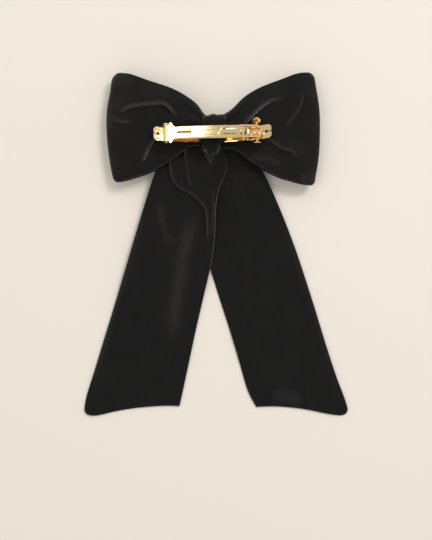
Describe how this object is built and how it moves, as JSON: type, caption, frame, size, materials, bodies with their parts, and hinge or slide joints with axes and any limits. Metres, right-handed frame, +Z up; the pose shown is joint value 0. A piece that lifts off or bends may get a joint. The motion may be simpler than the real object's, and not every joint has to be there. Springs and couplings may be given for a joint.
{
  "type": "hair bow barrette",
  "caption": "Velvet hair bow with folded loops, a wrapped knot and long tails, on an arched sprung barrette clip that opens to grip hair.",
  "frame": {"origin": "under the middle of the bow's footprint, on the surface that its front lies on", "axes": "+X along the barrette towards the catch, +Y from the tails' ends to the loops' tops, +Z up, away from the bow's front, so the barrette faces +Z"},
  "size_m": [0.1866, 0.2402, 0.0289],
  "materials": {
    "velvet": "short-pile black velvet with a soft sheen",
    "thread": "waxed black sewing thread",
    "gold_plate": "bright pale gold plate",
    "gold_spring": "bright gold plated spring sheet"
  },
  "bodies": {
    "bow": {"loop_left": "velvet", "loop_right": "velvet", "tail_left": "velvet", "tail_right": "velvet", "knot_wrap": "velvet", "gather_thread": "thread", "wrap_stitches": "thread", "clip_base": "gold_plate", "hinge_pin": "gold_plate", "catch_bracket": "gold_plate", "catch_rivet": "gold_plate"},
    "clasp": {"clasp_bar": "gold_plate", "tension_bar": "gold_spring"},
    "catch_upper": {"catch_arm_upper": "gold_spring"},
    "catch_lower": {"catch_arm_lower": "gold_spring"}
  },
  "joints": [
    {"name": "clasp_hinge", "type": "hinge", "parent": "bow", "child": "clasp", "pos_m": [-0.03384, 0.07566, 0.02394], "axis": [0.0201, -0.9611, 0.2756], "range_deg": [0, 95]},
    {"name": "catch_press_upper", "type": "hinge", "parent": "bow", "child": "catch_upper", "pos_m": [0.0218, 0.07911, 0.02245], "axis": [0.0058, -0.2756, -0.9613], "range_deg": [0, 8], "stiffness_Nm_per_rad": 0.19},
    {"name": "catch_press_lower", "type": "hinge", "parent": "bow", "child": "catch_lower", "pos_m": [0.0219, 0.07411, 0.02388], "axis": [-0.0058, 0.2756, 0.9613], "range_deg": [0, 8], "stiffness_Nm_per_rad": 0.19}
  ]
}
